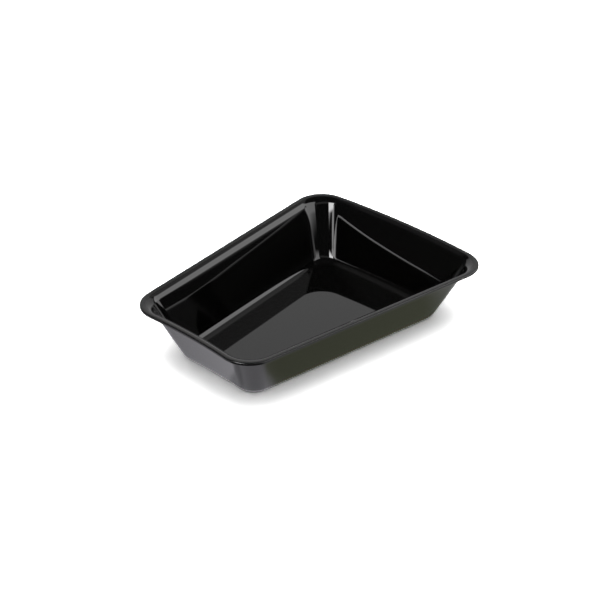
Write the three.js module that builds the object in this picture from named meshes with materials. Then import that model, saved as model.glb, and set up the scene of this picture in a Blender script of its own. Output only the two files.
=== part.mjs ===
// Petal salad bowl, moulded in one piece from thin black plastic.
// Seen from above it is one segment of a ring: two straight sides that lean apart, a wide end that bows out and
// a narrow end that bows in, so that bowls set side by side make a circle. The walls lean outwards to a flared
// rim with a lip turned down all round.
// Millimetres, +Z up, the wide end towards +Y. The base rests on z = 0.

import * as THREE from "three";

// Plan of the rim's outermost edge
const LENGTH = 300; // along the middle line, from the narrow end to the wide end
const NARROW_WIDTH = 158; // between the side lines at the narrow end
const WIDE_WIDTH = 239; // between the side lines at the wide end
const WIDE_END_RADIUS = 900; // the wide end bows out
const NARROW_END_RADIUS = 600; // the narrow end bows in
const NARROW_CORNER_RADIUS = 30;
const WIDE_CORNER_RADIUS = 30;

// Corners where the wall meets the base
const NARROW_FOOT_CORNER_RADIUS = 14;
const WIDE_FOOT_CORNER_RADIUS = 16;

// Section through the wall, the same all round
const HEIGHT = 60;
const WALL = 1.2; // thickness of the floor, the walls and the lip
const DRAFT = THREE.MathUtils.degToRad(23.4); // lean of the wall from upright
const FOOT_RADIUS = 10.5; // outside, where the wall turns into the base
const FLARE_RADIUS = 8.8; // outside, where the wall turns out into the rim
const LIP_WIDTH = 1.7; // from the outermost edge in to where the flare starts
const LIP_DROP = 3; // from the rim's top down to the lip's lower edge
const LIP_ROUND = 1.2; // outer edge of the rim's top

// Steps along the curves
const CORNER_STEPS = 10;
const END_STEPS = 12;
const FILLET_STEPS = 6;
const ROUND_STEPS = 3;

const UPRIGHT = Math.PI / 2;
const sideLean = Math.atan2(WIDE_WIDTH / 2 - NARROW_WIDTH / 2, LENGTH);
const sideDirection = new THREE.Vector2(Math.sin(sideLean), Math.cos(sideLean));
const sideNormal = new THREE.Vector2(Math.cos(sideLean), -Math.sin(sideLean));
const sideDistance = sideNormal.dot(new THREE.Vector2(NARROW_WIDTH / 2, -LENGTH / 2));
const wideEndCentre = new THREE.Vector2(0, LENGTH / 2 - WIDE_END_RADIUS);
const narrowEndCentre = new THREE.Vector2(0, -LENGTH / 2 - NARROW_END_RADIUS);

// Centre of a corner on the right: level with the side, and at a given distance from an end's centre.
function cornerCentre(fromSide, endCentre, fromEndCentre) {
  const start = sideNormal.clone().multiplyScalar(fromSide);
  const offset = start.clone().sub(endCentre);
  const along = offset.dot(sideDirection);
  const reach = Math.sqrt(along * along - offset.lengthSq() + fromEndCentre * fromEndCentre);
  return start.addScaledVector(sideDirection, reach - along);
}

function arcPoints(centre, radius, from, to, steps, clockwise) {
  return new THREE.ArcCurve(centre.x, centre.y, radius, from, to, clockwise).getPoints(steps);
}

// One level ring of the bowl, set in from the rim's edge by an even inset, anticlockwise from the right side.
function planRing(inset, narrowCorner, wideCorner) {
  const wideRadius = WIDE_END_RADIUS - inset;
  const narrowRadius = NARROW_END_RADIUS + inset;
  const side = sideDistance - inset;
  const wide = cornerCentre(side - wideCorner, wideEndCentre, wideRadius - wideCorner);
  const narrow = cornerCentre(side - narrowCorner, narrowEndCentre, narrowRadius + narrowCorner);
  const wideAngle = wide.clone().sub(wideEndCentre).angle();
  const narrowAngle = narrow.clone().sub(narrowEndCentre).angle();
  const wideLeft = new THREE.Vector2(-wide.x, wide.y);
  const narrowLeft = new THREE.Vector2(-narrow.x, narrow.y);
  const leftSide = Math.PI + sideLean;
  const arcs = [
    arcPoints(wide, wideCorner, -sideLean, wideAngle, CORNER_STEPS, false),
    arcPoints(wideEndCentre, wideRadius, wideAngle, Math.PI - wideAngle, END_STEPS, false),
    arcPoints(wideLeft, wideCorner, Math.PI - wideAngle, leftSide, CORNER_STEPS, false),
    arcPoints(narrowLeft, narrowCorner, leftSide, 2 * Math.PI - narrowAngle, CORNER_STEPS, false),
    arcPoints(narrowEndCentre, narrowRadius, Math.PI - narrowAngle, narrowAngle, END_STEPS, true),
    arcPoints(narrow, narrowCorner, narrowAngle - Math.PI, -sideLean, CORNER_STEPS, false),
  ];
  // The first and the fourth arc start at the far end of a straight side. Each other arc starts on the last one.
  return arcs.flatMap((points, i) => (i % 3 === 0 ? points : points.slice(1)));
}

// A point of the section: its inset from the rim's edge, its height, and the direction through the wall to
// the inside, as an angle up from level.
function sectionPoint(inset, height, angle) {
  return { inset, height, angle };
}

// Points of a round in the section, from one wall direction to another.
function sectionArc(centreInset, centreHeight, radius, from, to, steps, sign) {
  const points = [];
  for (let step = 0; step <= steps; step += 1) {
    const angle = THREE.MathUtils.lerp(from, to, step / steps);
    const inset = centreInset + sign * radius * Math.cos(angle);
    const height = centreHeight + sign * radius * Math.sin(angle);
    points.push(sectionPoint(inset, height, angle));
  }
  return points;
}

// Outside of the wall from the base up to the underside of the rim
const flareHeight = HEIGHT - WALL - FLARE_RADIUS;
const flare = sectionArc(LIP_WIDTH, flareHeight, FLARE_RADIUS, DRAFT, UPRIGHT, FILLET_STEPS, 1);
const wallFootInset = flare[0].inset + flare[0].height * Math.tan(DRAFT);
const baseInset = wallFootInset + FOOT_RADIUS * Math.tan((UPRIGHT - DRAFT) / 2);
const foot = sectionArc(baseInset, FOOT_RADIUS, FOOT_RADIUS, UPRIGHT, DRAFT, FILLET_STEPS, -1);
const outside = [...foot, ...flare];

// Corner radii shrink evenly from the rim's edge to the base.
function cornerRadii(inset) {
  const share = inset / baseInset;
  return {
    narrow: THREE.MathUtils.lerp(NARROW_CORNER_RADIUS, NARROW_FOOT_CORNER_RADIUS, share),
    wide: THREE.MathUtils.lerp(WIDE_CORNER_RADIUS, WIDE_FOOT_CORNER_RADIUS, share),
  };
}

// Ring of points in space at a point of the outside, or square through the wall from it by a thickness.
function spaceRing(point, thickness) {
  const across = thickness * Math.cos(point.angle);
  const up = thickness * Math.sin(point.angle);
  const corner = cornerRadii(point.inset);
  const ring = planRing(point.inset + across, corner.narrow - across, corner.wide - across);
  return ring.map((p) => new THREE.Vector3(p.x, p.y, point.height + up));
}

// The lip from the rim's top round its edge, down, and up again inside
function lipRings() {
  const top = sectionArc(LIP_ROUND, HEIGHT - LIP_ROUND, LIP_ROUND, UPRIGHT, Math.PI, ROUND_STEPS, 1);
  const edgeRadius = WALL / 2;
  const edgeHeight = HEIGHT - LIP_DROP + edgeRadius;
  const edge = sectionArc(edgeRadius, edgeHeight, edgeRadius, Math.PI, 2 * Math.PI, 2 * ROUND_STEPS, 1);
  const behind = sectionPoint(WALL, HEIGHT - WALL, 0);
  return [...top, ...edge, behind].map((point) => spaceRing(sectionPoint(point.inset, point.height, 0), 0));
}

// Skin between rings that follow each other, closed by a floor at both ends.
function loftedShell(rings) {
  const count = rings[0].length;
  const positions = rings.flat().flatMap((point) => point.toArray());
  const index = [];
  for (let step = 0; step < rings.length - 1; step += 1) {
    for (let i = 0; i < count; i += 1) {
      const next = (i + 1) % count;
      const a = step * count + i;
      const b = step * count + next;
      const c = a + count;
      const d = b + count;
      index.push(a, b, d, a, d, c);
    }
  }
  const last = (rings.length - 1) * count;
  const level = (ring) => ring.map((point) => new THREE.Vector2(point.x, point.y));
  const floorFaces = (ring) => THREE.ShapeUtils.triangulateShape(level(ring), []);
  for (const [a, b, c] of floorFaces(rings[0])) {
    index.push(a, c, b);
  }
  for (const [a, b, c] of floorFaces(rings.at(-1))) {
    index.push(last + a, last + b, last + c);
  }
  const geometry = new THREE.BufferGeometry();
  geometry.setAttribute("position", new THREE.Float32BufferAttribute(positions, 3));
  geometry.setIndex(index);
  geometry.computeVertexNormals();
  return geometry;
}

const outer = outside.map((point) => spaceRing(point, 0));
const inner = outside.map((point) => spaceRing(point, WALL)).reverse();
const shell = loftedShell([...outer, ...lipRings().reverse(), ...inner]);

// The origin is below the middle of the bowl's outline.
shell.computeBoundingBox();
shell.translate(0, -shell.boundingBox.getCenter(new THREE.Vector3()).y, 0);

const blackPlastic = new THREE.MeshStandardMaterial({ color: 0x0b0b0c, roughness: 0.12, metalness: 0 });
const bowl = new THREE.Mesh(shell, blackPlastic);
bowl.name = "salad_bowl";

const petalSaladBowl = new THREE.Group();
petalSaladBowl.add(bowl);

export default petalSaladBowl;
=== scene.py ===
"""Petal salad bowl of thin black plastic, standing in a plain white studio.

The bowl is one moulding: a floor, four sloping walls with round corners, a flared rim and a lip turned
down all round. Sizes are in millimetres, +Z is up and the wide end is towards +Y. The finished mesh is in
metres, in the same frame as the solid model.
"""

import logging
import math
from dataclasses import dataclass, field
from enum import Enum
from typing import Any

import bmesh
import bpy
from bmesh.types import BMEdge, BMesh, BMVert
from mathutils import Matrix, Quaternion, Vector


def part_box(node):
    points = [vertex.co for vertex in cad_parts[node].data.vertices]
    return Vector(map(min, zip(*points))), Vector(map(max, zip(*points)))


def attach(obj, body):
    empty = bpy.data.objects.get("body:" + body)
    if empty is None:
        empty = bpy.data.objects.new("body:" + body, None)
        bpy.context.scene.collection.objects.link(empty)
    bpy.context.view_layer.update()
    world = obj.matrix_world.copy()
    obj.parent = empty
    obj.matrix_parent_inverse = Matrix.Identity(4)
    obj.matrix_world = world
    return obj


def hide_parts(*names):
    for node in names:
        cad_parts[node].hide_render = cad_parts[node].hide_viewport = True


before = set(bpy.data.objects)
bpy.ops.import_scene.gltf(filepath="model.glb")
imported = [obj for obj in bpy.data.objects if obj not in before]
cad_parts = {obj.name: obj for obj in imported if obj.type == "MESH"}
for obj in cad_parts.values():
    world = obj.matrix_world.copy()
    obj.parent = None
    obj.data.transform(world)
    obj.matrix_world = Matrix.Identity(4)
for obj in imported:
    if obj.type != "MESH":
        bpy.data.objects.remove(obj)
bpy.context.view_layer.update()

MM = 0.001
UPRIGHT = math.pi / 2

WHITE_LIGHT = "#FFFFFF"
COOL_LIGHT = "#FAF8FF"
OLIVE_LIGHT = "#F8FFD9"

log = logging.getLogger("petal_salad_bowl")


def linear(hex_code: str) -> tuple[float, float, float, float]:
    """Turns an sRGB hex colour into the linear colour that a shader socket takes.

    Args:
        hex_code: Six hex digits after a hash sign.

    Returns:
        Linear red, green and blue, and 1 for opaque.
    """
    channels = [int(hex_code[i : i + 2], 16) / 255 for i in (1, 3, 5)]
    turned = [c / 12.92 if c <= 0.04045 else ((c + 0.055) / 1.055) ** 2.4 for c in channels]
    return (*turned, 1.0)


def add_node(
    tree: bpy.types.NodeTree,
    kind: str,
    inputs: dict[str | int, Any] | None = None,
    **settings: Any,
) -> bpy.types.Node:
    """Adds a node with its settings and links.

    Args:
        tree: The node tree that gets the node.
        kind: The node's type name, such as ShaderNodeMath.
        inputs: For each input, by name or number, the socket to link it to or the value to set.
        **settings: Properties of the node itself.

    Returns:
        The new node.
    """
    node = tree.nodes.new(kind)
    for name, value in settings.items():
        setattr(node, name, value)
    for key, value in (inputs or {}).items():
        if isinstance(value, bpy.types.NodeSocket):
            tree.links.new(value, node.inputs[key])
        else:
            node.inputs[key].default_value = value
    return node


class Corner(Enum):
    """The two kinds of corner of the bowl's plan."""

    NARROW = "narrow"
    WIDE = "wide"


@dataclass(frozen=True)
class Level:
    """One level ring of the shell.

    Attributes:
        inset: Distance in from the rim's outermost edge, in millimetres.
        height: Height above the table, in millimetres.
        corners: Corner radius for each kind of corner, in millimetres.
    """

    inset: float
    height: float
    corners: dict[Corner, float]


@dataclass(frozen=True)
class RimPlan:
    """Outline of the rim seen from above: a segment of a ring with round corners. Sizes in millimetres."""

    length: float = 300.0
    narrow_width: float = 158.0
    wide_width: float = 239.0
    wide_end_radius: float = 900.0
    narrow_end_radius: float = 600.0
    corner_steps: int = 40
    end_steps: int = 48

    @property
    def side_lean(self) -> float:
        """Angle between a side and the middle line."""
        return math.atan2((self.wide_width - self.narrow_width) / 2, self.length)

    @property
    def wide_end_centre(self) -> Vector:
        """Centre of the arc of the wide end."""
        return Vector((0, self.length / 2 - self.wide_end_radius, 0))

    @property
    def narrow_end_centre(self) -> Vector:
        """Centre of the arc of the narrow end."""
        return Vector((0, -self.length / 2 - self.narrow_end_radius, 0))

    def corner_centre(self, from_side: float, end_centre: Vector, from_end_centre: float) -> Vector:
        """Centre of a corner on the right.

        Args:
            from_side: Distance of the centre's line, parallel to the side, from the plan's middle.
            end_centre: Centre of the end's arc.
            from_end_centre: Distance of the corner's centre from it.

        Returns:
            The centre, where the line and the circle meet nearest to the end.
        """
        along_side = Vector((math.sin(self.side_lean), math.cos(self.side_lean), 0))
        start = Vector((math.cos(self.side_lean), -math.sin(self.side_lean), 0)) * from_side
        offset = start - end_centre
        along = offset.dot(along_side)
        reach = math.sqrt(along**2 - offset.length_squared + from_end_centre**2)
        return start + along_side * (reach - along)

    def ring(self, mesh: BMesh, level: Level) -> list[BMEdge]:
        """Draws the closed outline at one level, by spinning its last vertex round the centre of each arc.

        Args:
            mesh: The mesh that gets the ring.
            level: Where the ring lies.

        Returns:
            The ring's edges.
        """
        lean = self.side_lean
        side = math.cos(lean) * self.narrow_width / 2 + math.sin(lean) * self.length / 2 - level.inset
        narrow_radius, wide_radius = level.corners[Corner.NARROW], level.corners[Corner.WIDE]
        wide_reach = self.wide_end_radius - level.inset - wide_radius
        narrow_reach = self.narrow_end_radius + level.inset + narrow_radius
        wide = self.corner_centre(side - wide_radius, self.wide_end_centre, wide_reach)
        narrow = self.corner_centre(side - narrow_radius, self.narrow_end_centre, narrow_reach)
        wide_angle = math.asin((wide - self.wide_end_centre).y / wide_reach)
        narrow_angle = math.asin((narrow - self.narrow_end_centre).y / narrow_reach)
        wide_corner = (wide_angle + lean, self.corner_steps)
        wide_end = (math.pi - 2 * wide_angle, self.end_steps)
        narrow_corner = (math.pi - narrow_angle - lean, self.corner_steps)
        narrow_end = (2 * narrow_angle - math.pi, self.end_steps)
        across = Vector((-1, 1, 1))
        outwards = Vector((math.cos(lean), -math.sin(lean), 0))

        first = mesh.verts.new(wide + outwards * wide_radius)
        last = self.spin_vertex(mesh, first, wide, *wide_corner)
        last = self.spin_vertex(mesh, last, self.wide_end_centre, *wide_end)
        last = self.spin_vertex(mesh, last, wide * across, *wide_corner)
        last = self.draw_side(mesh, last, (narrow + outwards * narrow_radius) * across)
        last = self.spin_vertex(mesh, last, narrow * across, *narrow_corner)
        last = self.spin_vertex(mesh, last, self.narrow_end_centre, *narrow_end)
        last = self.spin_vertex(mesh, last, narrow, *narrow_corner)
        edges = self.loop_from(mesh.edges.new((last, first)))
        ring_verts = list({vert for edge in edges for vert in edge.verts})
        bmesh.ops.translate(mesh, verts=ring_verts, vec=(0, 0, level.height))
        return edges

    @staticmethod
    def spin_vertex(mesh: BMesh, vert: BMVert, centre: Vector, angle: float, steps: int) -> BMVert:
        """Spins a vertex into an arc.

        Args:
            mesh: The mesh that gets the arc.
            vert: The vertex to start from.
            centre: Centre of the arc.
            angle: How far it turns, anticlockwise from above.
            steps: Number of edges in the arc.

        Returns:
            The vertex at the arc's end.
        """
        spun = bmesh.ops.spin(
            mesh, geom=[vert], cent=centre, axis=(0, 0, 1), angle=angle, steps=steps, use_merge=False
        )
        return next(item for item in spun["geom_last"] if isinstance(item, BMVert))

    @staticmethod
    def draw_side(mesh: BMesh, vert: BMVert, target: Vector) -> BMVert:
        """Extrudes a vertex in a straight line.

        Args:
            mesh: The mesh that gets the line.
            vert: The vertex to start from.
            target: Where the line ends.

        Returns:
            The vertex at the line's end.
        """
        end = bmesh.ops.extrude_vert_indiv(mesh, verts=[vert])["verts"][0]
        bmesh.ops.translate(mesh, verts=[end], vec=target - end.co)
        return end

    @staticmethod
    def loop_from(closing: BMEdge) -> list[BMEdge]:
        """Walks round a closed outline.

        Args:
            closing: The edge to start from.

        Returns:
            The outline's edges in order.
        """
        edges = [closing]
        vert = closing.verts[1]
        while True:
            onward = next(edge for edge in vert.link_edges if edge is not edges[-1])
            if onward is closing:
                return edges
            edges.append(onward)
            vert = onward.other_vert(vert)


@dataclass(frozen=True)
class WallSection:
    """Section through the wall, the same all round. Sizes in millimetres, the lean in degrees.

    The outside foot and flare are rounds of one wall that is equally thick everywhere, so the inside
    rounds are smaller or larger than these by its thickness. The flat base starts a margin in from the foot.
    """

    height: float = 60.0
    wall: float = 1.2
    lean: float = 23.4
    foot_radius: float = 10.5
    flare_radius: float = 8.8
    lip_width: float = 1.7
    lip_drop: float = 3.0
    lip_round: float = 1.2
    lip_inner_round: float = 0.4
    base_margin: float = 0.3
    rim_corners: dict[Corner, float] = field(
        default_factory=lambda: {Corner.NARROW: 30.0, Corner.WIDE: 30.0}
    )
    foot_corners: dict[Corner, float] = field(
        default_factory=lambda: {Corner.NARROW: 14.0, Corner.WIDE: 16.0}
    )
    fillet_steps: int = 18
    wall_steps: int = 6
    round_steps: int = 8

    @property
    def upright_lean(self) -> float:
        """Lean of the wall in radians."""
        return math.radians(self.lean)

    @property
    def flare_centre(self) -> tuple[float, float]:
        """Inset and height of the centre of the flare's round."""
        return self.lip_width, self.height - self.wall - self.flare_radius

    @property
    def base_inset(self) -> float:
        """Inset of the line where the flat base starts."""
        inset, height = self.flare_centre
        wall_top_inset = inset + self.flare_radius * math.cos(self.upright_lean)
        wall_top_height = height + self.flare_radius * math.sin(self.upright_lean)
        foot_inset = wall_top_inset + wall_top_height * math.tan(self.upright_lean)
        return foot_inset + self.foot_radius * math.tan((UPRIGHT - self.upright_lean) / 2)

    def level(self, inset: float, height: float, angle: float = 0.0, through: float = 0.0) -> Level:
        """Makes a level ring on the outside of the wall, or square through the wall from it.

        Args:
            inset: Inset of the point on the outside.
            height: Its height.
            angle: Direction through the wall to the inside, up from level, in radians.
            through: How far to go that way.

        Returns:
            The ring, with corners that shrink evenly from the rim to the base.
        """
        across = through * math.cos(angle)
        share = inset / self.base_inset
        rim, foot = self.rim_corners, self.foot_corners
        corners = {kind: rim[kind] + (foot[kind] - rim[kind]) * share - across for kind in Corner}
        return Level(inset + across, height + through * math.sin(angle), corners)

    def outside(self, through: float) -> list[Level]:
        """Levels from the base up to the rim.

        Args:
            through: Distance from the outside face into the wall: nothing, or the wall's thickness.

        Returns:
            The rings of the foot, the wall and the flare.
        """
        lean, steps = self.upright_lean, self.fillet_steps
        flare_inset, flare_height = self.flare_centre
        points: list[tuple[float, float, float]] = []
        for step in range(steps + 1):
            angle = UPRIGHT + (lean - UPRIGHT) * step / steps
            inset = self.base_inset - self.foot_radius * math.cos(angle)
            points.append((inset, self.foot_radius * (1 - math.sin(angle)), angle))
        foot_top = points[-1]
        wall_top = (
            flare_inset + self.flare_radius * math.cos(lean),
            flare_height + self.flare_radius * math.sin(lean),
        )
        for step in range(1, self.wall_steps):
            share = step / self.wall_steps
            inset = foot_top[0] + (wall_top[0] - foot_top[0]) * share
            points.append((inset, foot_top[1] + (wall_top[1] - foot_top[1]) * share, lean))
        for step in range(steps + 1):
            angle = lean + (UPRIGHT - lean) * step / steps
            inset = flare_inset + self.flare_radius * math.cos(angle)
            points.append((inset, flare_height + self.flare_radius * math.sin(angle), angle))
        return [self.level(*point, through) for point in points]

    def round_levels(
        self, inset: float, height: float, radius: float, start: float, end: float
    ) -> list[Level]:
        """Levels along a round of the lip.

        Args:
            inset: Inset of the round's centre.
            height: Height of the round's centre.
            radius: Radius of the round.
            start: Angle of the first level, in radians.
            end: Angle of the last level, in radians.

        Returns:
            The rings of the round.
        """
        steps = self.round_steps
        angles = [start + (end - start) * step / steps for step in range(steps + 1)]
        return [
            self.level(inset + radius * math.cos(angle), height + radius * math.sin(angle))
            for angle in angles
        ]

    def lip(self) -> list[Level]:
        """Levels from the rim's underside, down behind the lip, round its lower edge and over the top."""
        corner = self.lip_inner_round
        shoulder = self.lip_round
        edge = self.wall / 2
        edge_height = self.height - self.lip_drop + edge
        behind = self.round_levels(
            self.wall + corner, self.height - self.wall - corner, corner, UPRIGHT, math.pi
        )
        lower = self.round_levels(edge, edge_height, edge, 2 * math.pi, math.pi)
        top = self.round_levels(shoulder, self.height - shoulder, shoulder, math.pi, UPRIGHT)
        return [*behind, *lower, *top]

    def shell(self) -> list[Level]:
        """Levels of the whole skin, from the base outside, over the lip, to the floor inside."""
        base = self.level(self.base_inset + self.base_margin, 0.0)
        outer = self.outside(0.0)
        inner = self.outside(self.wall)
        floor = self.level(self.base_inset + self.base_margin, self.wall)
        return [base, *outer, *self.lip(), *reversed(inner), floor]


@dataclass(frozen=True)
class GlossBlackStyrene:
    """Polystyrene sheet, dyed black and formed over a polished mould.

    The dye hides everything below the skin, so the eye sees almost no colour of its own, only the room
    mirrored in a smooth skin. The rim is cut and pressed, which leaves it a little duller than the walls.
    The grain is drawn coarser than a real one, so that it shows. The ripple is the sheet's slow unevenness.
    """

    colour: str = "#060606"
    ior: float = 1.5
    roughness: float = 0.02
    rim_roughness: float = 0.36
    rim_band_mm: float = 0.8
    grain_mm: float = 0.6
    grain_detail: float = 2.0
    grain_depth_mm: float = 0.01
    grain_strength: float = 0.04
    ripple_mm: float = 45.0
    ripple_depth_mm: float = 0.02

    def material(self, height_mm: float) -> bpy.types.Material:
        """Makes the material.

        Args:
            height_mm: Height of the rim's top, where the dull band lies.

        Returns:
            The finished material, read in Object coordinates.
        """
        material = bpy.data.materials.new("moulded_gloss_black_styrene")
        material.use_nodes = True
        tree = material.node_tree
        tree.nodes.clear()
        place = add_node(tree, "ShaderNodeTexCoord").outputs["Object"]
        height = add_node(tree, "ShaderNodeSeparateXYZ", {0: place}).outputs["Z"]
        # The skin turns dull over the lower half of the rim's band.
        band_start = (height_mm - self.rim_band_mm) * MM
        dullness = add_node(
            tree,
            "ShaderNodeMapRange",
            {
                "Value": height,
                "From Min": band_start,
                "From Max": band_start + self.rim_band_mm / 2 * MM,
                "To Min": self.roughness,
                "To Max": self.rim_roughness,
            },
        ).outputs["Result"]
        grain = add_node(
            tree,
            "ShaderNodeTexNoise",
            {"Vector": place, "Scale": 1 / (self.grain_mm * MM), "Detail": self.grain_detail},
        ).outputs[0]
        ripple = add_node(
            tree,
            "ShaderNodeTexNoise",
            {"Vector": place, "Scale": 1 / (self.ripple_mm * MM), "Detail": 0.0},
        ).outputs[0]
        grain_bump = add_node(
            tree,
            "ShaderNodeBump",
            {"Height": grain, "Strength": self.grain_strength, "Distance": self.grain_depth_mm * MM},
        ).outputs["Normal"]
        bump = add_node(
            tree,
            "ShaderNodeBump",
            {"Height": ripple, "Distance": self.ripple_depth_mm * MM, "Normal": grain_bump},
        ).outputs["Normal"]
        skin = add_node(
            tree,
            "ShaderNodeBsdfPrincipled",
            {"Base Color": linear(self.colour), "IOR": self.ior, "Roughness": dullness, "Normal": bump},
        )
        add_node(tree, "ShaderNodeOutputMaterial", {"Surface": skin.outputs["BSDF"]})
        return material


@dataclass
class PetalBowl:
    """The whole bowl: one closed shell of even thickness."""

    name: str = "petal_bowl_shell"
    plan: RimPlan = field(default_factory=RimPlan)
    section: WallSection = field(default_factory=WallSection)
    finish: GlossBlackStyrene = field(default_factory=GlossBlackStyrene)
    sharp_angle: float = 35.0
    weld_distance: float = 0.0005

    def build(self) -> bpy.types.Object:
        """Bridges the level rings into a closed shell and dresses it.

        Returns:
            The finished piece.
        """
        mesh = bmesh.new()
        levels = self.section.shell()
        for lower, upper in zip(levels, levels[1:]):
            self.add_strip(mesh, lower, upper)
        for end in (levels[0], levels[-1]):
            self.add_strip(mesh, end)
        bmesh.ops.remove_doubles(mesh, verts=mesh.verts, dist=self.weld_distance)
        bmesh.ops.recalc_face_normals(mesh, faces=mesh.faces)
        for face in mesh.faces:
            face.smooth = True
        for edge in mesh.edges:
            edge.smooth = edge.calc_face_angle(0.0) < math.radians(self.sharp_angle)
        _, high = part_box("salad_bowl")
        bmesh.ops.scale(mesh, verts=mesh.verts, vec=(MM, MM, MM))
        bmesh.ops.translate(mesh, verts=mesh.verts, vec=(0, high.y - self.plan.length / 2 * MM, 0))
        data = bpy.data.meshes.new(self.name)
        mesh.to_mesh(data)
        mesh.free()
        data.materials.append(self.finish.material(self.section.height))
        shell = bpy.data.objects.new(self.name, data)
        bpy.context.scene.collection.objects.link(shell)
        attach(shell, "root")
        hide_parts("salad_bowl")
        log.info("%s: %d rings, %d faces", self.name, len(levels), len(data.polygons))
        return shell

    def add_strip(self, shell: BMesh, *levels: Level) -> None:
        """Draws one strip of the skin in a small mesh of its own, which is quick, and adds it to the shell.

        Args:
            shell: The mesh that gets the strip.
            *levels: Two levels to bridge, or one to fill with a flat face.
        """
        strip = bmesh.new()
        edges = [edge for level in levels for edge in self.plan.ring(strip, level)]
        if len(levels) == 1:
            bmesh.ops.contextual_create(strip, geom=edges)
        else:
            bmesh.ops.bridge_loops(strip, edges=edges)
        data = bpy.data.meshes.new("strip")
        strip.to_mesh(data)
        strip.free()
        shell.from_mesh(data)
        bpy.data.meshes.remove(data)


@dataclass(frozen=True)
class Softbox:
    """A bright rectangle of the studio, far away. Angles in degrees.

    Attributes:
        azimuth: Direction from the bowl, from +Y towards +X.
        elevation: Height above the horizon.
        width: How wide it looks.
        height: How tall it looks.
        brightness: 1 is white.
        softness: Width of its soft border, as a share of its half size.
        turn: How far it is turned, anticlockwise as the bowl sees it.
    """

    azimuth: float
    elevation: float
    width: float
    height: float
    brightness: float
    softness: float = 0.1
    turn: float = 0.0


@dataclass(frozen=True)
class PaintedLightPatch:
    """An oval patch of painted light on the table, or of painted shade where it is darker than the rest, in
    millimetres and degrees.

    Attributes:
        x: Middle of the patch, to the right of the bowl's middle.
        y: Middle of the patch, towards the wide end.
        across: Its size along X.
        along: Its size along Y.
        brightness: 1 is white.
        softness: Width of its soft border, as a share of its half size.
        turn: How far it is turned, anticlockwise from above.
        tint: Colour of its light.
    """

    x: float
    y: float
    across: float
    along: float
    brightness: float
    softness: float = 0.15
    turn: float = 0.0
    tint: str = WHITE_LIGHT

    @property
    def light(self) -> tuple[float, float, float, float]:
        """Colour and brightness in one, as a shader socket takes them."""
        red, green, blue, _ = linear(self.tint)
        return (red * self.brightness, green * self.brightness, blue * self.brightness, 1.0)


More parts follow.
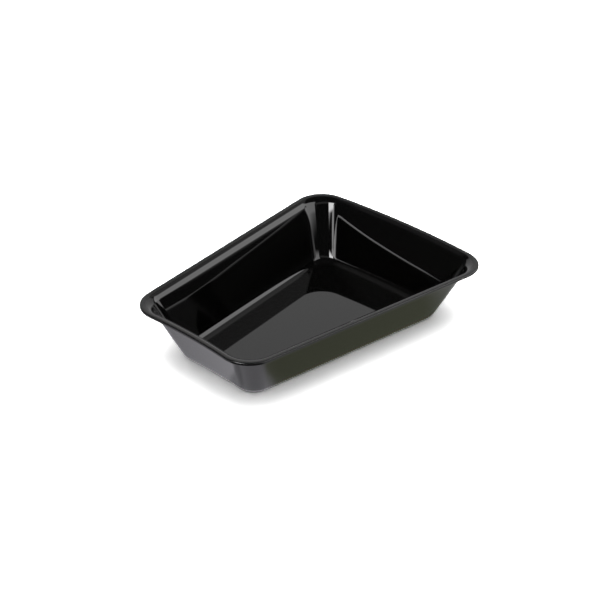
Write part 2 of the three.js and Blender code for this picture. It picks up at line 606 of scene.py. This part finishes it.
@dataclass
class Studio:
    """Floor, surroundings and camera. None of it is part of the bowl.

    Gloss black shows only what it mirrors. So the bowl mirrors softboxes in a dim room and a table that
    carries patches of painted light and painted shade, while the camera sees a plain white room and an
    overexposed table with a soft shadow.

    Attributes:
        table_colour: Paper of the table, as it lights the bowl.
        table_exposure: Brightness of the table to the camera, where no shadow falls. 1 is white.
        table_brightness: Brightness of the table where the bowl mirrors it outside the patches of painted
            light and shade.
        ambient: Brightness of the room between the softboxes.
        overhead_focus: How much the light gathers overhead. At 0 it is even, and more tightens the shadow.
        softboxes: What the bowl mirrors from the room. Where two overlap, the brighter one shows.
        painted_light_and_shade: Painted light and painted shade on the table, which only the bowl mirrors. A
            later patch lies over an earlier one.
        camera_azimuth: Direction of the camera, from -Y towards +X.
        camera_elevation: Height of the camera above the horizon.
        camera_distance: Distance from the plan's middle, in millimetres.
        camera_right: Shift of the camera to the right, in millimetres.
        camera_up: Shift of the camera upwards, in millimetres.
        focal_share: Focal length as a share of the sensor's width.
        sensor: Width of the sensor, in millimetres.
        floor_radius: Radius of the table, in metres.
        floor_segments: Number of edges round the table.
    """

    table_colour: str = "#E6E6E4"
    table_exposure: float = 2.85
    table_brightness: float = 0.75
    ambient: float = 0.04
    overhead_focus: float = 4.5
    softboxes: tuple[Softbox, ...] = (
        # Pale backdrop behind the bowl, mirrored in its floor and on the level rim
        Softbox(azimuth=-38, elevation=10, width=84, height=64, brightness=0.78),
        # Dim light above the backdrop, mirrored where the rim starts to turn down
        Softbox(azimuth=-16, elevation=48, width=60, height=14, brightness=0.4, softness=0.15),
        Softbox(azimuth=-82, elevation=54, width=60, height=10, brightness=0.15, softness=0.2),
        # Large light on the right: the long band under the left rim and the strip at the left wall's foot
        Softbox(azimuth=27, elevation=24, width=30, height=36, brightness=2.9, softness=0.06),
        Softbox(azimuth=24, elevation=2, width=20, height=9, brightness=2.0),
        # Further to the right: the grey highlight in the far corner
        Softbox(azimuth=54, elevation=9, width=18, height=10, brightness=3.0),
        Softbox(azimuth=66, elevation=36, width=41, height=35, brightness=2.9, softness=0.06, turn=26.5),
        # Bright light in front: the white highlight in the far corner and the thin line on the far wall
        Softbox(azimuth=176, elevation=36.2, width=21, height=23, brightness=15.0, softness=0.06, turn=-16),
        Softbox(azimuth=183, elevation=22.6, width=9, height=5, brightness=5.0, softness=0.25, turn=-25),
        # Dim light high in front
        Softbox(azimuth=147, elevation=49, width=80, height=21, brightness=0.4),
    )
    painted_light_and_shade: tuple[PaintedLightPatch, ...] = (
        # Painted shade on the table in front, mirrored by the near corner
        PaintedLightPatch(x=135, y=-225, across=230, along=200, brightness=0.05),
        # Painted shadow under the rim, half dark, along the right side
        PaintedLightPatch(
            x=84, y=8, across=90, along=250, brightness=0.27, softness=0.3, turn=-7.7, tint=OLIVE_LIGHT
        ),
        # Painted light, mirrored by the narrow end and the near corner
        PaintedLightPatch(x=-100, y=-240, across=200, along=130, brightness=0.76, softness=0.3, tint=COOL_LIGHT),
        PaintedLightPatch(x=-38, y=-130, across=140, along=44, brightness=0.8, softness=0.3, tint=COOL_LIGHT),
        PaintedLightPatch(x=54, y=-122, across=56, along=56, brightness=0.8, softness=0.3, tint=COOL_LIGHT),
        PaintedLightPatch(x=27, y=-127, across=22, along=44, brightness=0.5, softness=0.4, tint=COOL_LIGHT),
    )
    camera_azimuth: float = 44.203
    camera_elevation: float = 31.175
    camera_distance: float = 1477.893
    camera_right: float = -3.053
    camera_up: float = 27.128
    focal_share: float = 2.505
    sensor: float = 36.0
    floor_radius: float = 6.0
    floor_segments: int = 64

    def add_camera(self, plan: RimPlan) -> None:
        """Puts the camera where the photograph was taken from.

        Args:
            plan: The bowl's plan, whose middle the camera's place is measured from.
        """
        azimuth, elevation = math.radians(self.camera_azimuth), math.radians(self.camera_elevation)
        back = Vector(
            (
                math.sin(azimuth) * math.cos(elevation),
                -math.cos(azimuth) * math.cos(elevation),
                math.sin(elevation),
            )
        )
        right = Vector((math.cos(azimuth), math.sin(azimuth), 0))
        up = back.cross(right)
        _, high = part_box("salad_bowl")
        middle = Vector((0, high.y - plan.length / 2 * MM, 0))
        offset = back * self.camera_distance + right * self.camera_right + up * self.camera_up
        data = bpy.data.cameras.new("camera")
        data.sensor_width = self.sensor
        data.lens = self.sensor * self.focal_share
        data.dof.use_dof = False
        camera = bpy.data.objects.new("camera", data)
        camera.location = middle + offset * MM
        camera.rotation_mode = "QUATERNION"
        camera.rotation_quaternion = (-back).to_track_quat("-Z", "Y")
        bpy.context.scene.collection.objects.link(camera)
        bpy.context.scene.camera = camera
        log.info("camera %.1f mm lens", data.lens)

    def add_floor(self) -> None:
        """Lays a round pale table top, whose lit part is plain white to the camera."""
        mesh = bmesh.new()
        bmesh.ops.create_circle(
            mesh, cap_ends=True, segments=self.floor_segments, radius=self.floor_radius
        )
        data = bpy.data.meshes.new("floor")
        mesh.to_mesh(data)
        mesh.free()
        data.materials.append(self.paper())
        floor = bpy.data.objects.new("floor", data)
        bpy.context.scene.collection.objects.link(floor)
        log.info("floor laid")

    @staticmethod
    def by_ray(
        tree: bpy.types.NodeTree,
        seen: bpy.types.NodeSocket,
        mirrored: bpy.types.NodeSocket,
        lighting: bpy.types.NodeSocket,
    ) -> bpy.types.NodeSocket:
        """Chooses a shader by the ray that reaches it.

        Args:
            tree: The node tree.
            seen: Shader for what the camera sees directly or through something clear.
            mirrored: Shader for what gloss mirrors.
            lighting: Shader for all other light.

        Returns:
            The chosen shader.
        """
        path = add_node(tree, "ShaderNodeLightPath").outputs
        direct = add_node(
            tree,
            "ShaderNodeMath",
            {0: path["Is Camera Ray"], 1: path["Is Transmission Ray"]},
            operation="MAXIMUM",
        ).outputs[0]
        unseen = add_node(
            tree, "ShaderNodeMixShader", {0: path["Is Glossy Ray"], 1: lighting, 2: mirrored}
        ).outputs[0]
        return add_node(tree, "ShaderNodeMixShader", {0: direct, 1: unseen, 2: seen}).outputs[0]

    def paper(self) -> bpy.types.Material:
        """Makes the matt white paper of the table.

        It is overexposed to the camera, and carries patches of painted light and painted shade where gloss
        mirrors it.

        Returns:
            The finished material.
        """
        material = bpy.data.materials.new("white_paper_table")
        # A light sample isn't told which kind of ray it serves, so the painted patches take none.
        material.cycles.emission_sampling = "NONE"
        material.use_nodes = True
        tree = material.node_tree
        tree.nodes.clear()
        place = add_node(tree, "ShaderNodeTexCoord").outputs["Object"]
        # What gloss mirrors of the table: an even brightness with the patches of painted light and painted
        # shade laid over it, glowing as emission.
        light: bpy.types.NodeSocket | tuple[float, ...] = (*[self.table_brightness] * 3, 1.0)
        for spot in self.painted_light_and_shade:
            mapped = add_node(
                tree,
                "ShaderNodeMapping",
                {
                    "Vector": place,
                    "Location": (spot.x * MM, spot.y * MM, 0),
                    "Rotation": (0, 0, math.radians(spot.turn)),
                    "Scale": (spot.across / 2 * MM, spot.along / 2 * MM, 1),
                },
                vector_type="TEXTURE",
            ).outputs[0]
            away = add_node(
                tree, "ShaderNodeVectorMath", {0: mapped}, operation="LENGTH"
            ).outputs["Value"]
            inside = add_node(
                tree,
                "ShaderNodeMapRange",
                {
                    "Value": away,
                    "From Min": 1 - spot.softness,
                    "From Max": 1 + spot.softness,
                    "To Min": 1.0,
                    "To Max": 0.0,
                },
                interpolation_type="SMOOTHSTEP",
            ).outputs["Result"]
            light = add_node(
                tree, "ShaderNodeMix", {0: inside, 6: light, 7: spot.light}, data_type="RGBA"
            ).outputs[2]
        mirrored = add_node(tree, "ShaderNodeEmission", {"Color": light})
        matt = add_node(tree, "ShaderNodeBsdfDiffuse", {"Color": linear(self.table_colour)})
        exposed = add_node(tree, "ShaderNodeBsdfDiffuse", {"Color": (*[self.table_exposure] * 3, 1.0)})
        surface = self.by_ray(tree, exposed.outputs[0], mirrored.outputs[0], matt.outputs[0])
        add_node(tree, "ShaderNodeOutputMaterial", {"Surface": surface})
        return material

    def softbox_mask(
        self, tree: bpy.types.NodeTree, direction: bpy.types.NodeSocket, box: Softbox
    ) -> bpy.types.NodeSocket:
        """Works out how much of a softbox lies in each direction.

        Args:
            tree: The world's node tree.
            direction: Socket that gives the direction.
            box: The softbox.

        Returns:
            Socket that is its brightness inside the box, falling to 0 at its border.
        """
        azimuth, elevation = math.radians(box.azimuth), math.radians(box.elevation)
        ahead = Vector(
            (
                math.sin(azimuth) * math.cos(elevation),
                math.cos(azimuth) * math.cos(elevation),
                math.sin(elevation),
            )
        )
        level = Vector((math.cos(azimuth), -math.sin(azimuth), 0))
        turned = Quaternion(ahead, -math.radians(box.turn))
        side = turned @ level
        above = turned @ level.cross(ahead)
        forward = add_node(
            tree, "ShaderNodeVectorMath", {0: direction, 1: ahead}, operation="DOT_PRODUCT"
        ).outputs["Value"]
        result = add_node(
            tree, "ShaderNodeMath", {0: forward, 1: 0.0}, operation="GREATER_THAN"
        ).outputs[0]
        for axis, angle in ((side, box.width), (above, box.height)):
            half = math.tan(math.radians(angle) / 2)
            along = add_node(
                tree, "ShaderNodeVectorMath", {0: direction, 1: axis}, operation="DOT_PRODUCT"
            ).outputs["Value"]
            slope = add_node(
                tree, "ShaderNodeMath", {0: along, 1: forward}, operation="DIVIDE"
            ).outputs[0]
            offset = add_node(tree, "ShaderNodeMath", {0: slope}, operation="ABSOLUTE").outputs[0]
            inside = add_node(
                tree,
                "ShaderNodeMapRange",
                {
                    "Value": offset,
                    "From Min": half * (1 - box.softness),
                    "From Max": half * (1 + box.softness),
                    "To Min": 1.0,
                    "To Max": 0.0,
                },
                interpolation_type="SMOOTHSTEP",
            ).outputs["Result"]
            result = add_node(
                tree, "ShaderNodeMath", {0: result, 1: inside}, operation="MULTIPLY"
            ).outputs[0]
        return add_node(
            tree, "ShaderNodeMath", {0: result, 1: box.brightness}, operation="MULTIPLY"
        ).outputs[0]

    def add_surroundings(self) -> None:
        """Lights the bowl from plain softboxes in a dim room, and shows the camera a white background."""
        world = bpy.data.worlds.new("studio")
        # A light sample isn't told which kind of ray it serves, so the world takes none.
        world.cycles.sampling_method = "NONE"
        world.use_nodes = True
        tree = world.node_tree
        tree.nodes.clear()
        direction = add_node(tree, "ShaderNodeTexCoord").outputs["Generated"]
        glow: bpy.types.NodeSocket | float = self.ambient
        for box in self.softboxes:
            mask = self.softbox_mask(tree, direction, box)
            glow = add_node(tree, "ShaderNodeMath", {0: mask, 1: glow}, operation="MAXIMUM").outputs[0]
        white_light = linear(WHITE_LIGHT)
        room = add_node(tree, "ShaderNodeBackground", {"Color": white_light, "Strength": glow})
        white = add_node(tree, "ShaderNodeBackground", {"Color": white_light, "Strength": 1.0})
        rise = add_node(tree, "ShaderNodeSeparateXYZ", {0: direction}).outputs["Z"]
        # The power gathers the light overhead, and the factor keeps an open table as bright.
        overhead = add_node(
            tree, "ShaderNodeMath", {0: rise, 1: self.overhead_focus}, operation="POWER", use_clamp=True
        ).outputs[0]
        strength = add_node(
            tree, "ShaderNodeMath", {0: overhead, 1: 1 + self.overhead_focus / 2}, operation="MULTIPLY"
        ).outputs[0]
        sky = add_node(tree, "ShaderNodeBackground", {"Color": white_light, "Strength": strength})
        surface = self.by_ray(tree, white.outputs[0], room.outputs[0], sky.outputs[0])
        add_node(tree, "ShaderNodeOutputWorld", {"Surface": surface})
        bpy.context.scene.world = world
        bpy.context.scene.view_settings.view_transform = "Standard"
        log.info("surroundings with %d softboxes", len(self.softboxes))

    def build(self, plan: RimPlan) -> None:
        """Builds the whole studio.

        Args:
            plan: The bowl's plan, which the camera's place is measured from.
        """
        self.add_camera(plan)
        self.add_floor()
        self.add_surroundings()


def main() -> None:
    """Builds the bowl and its studio."""
    logging.basicConfig(level=logging.INFO, format="%(name)s: %(message)s")
    bowl = PetalBowl()
    bowl.build()
    Studio().build(bowl.plan)


if __name__ == "__main__":
    main()
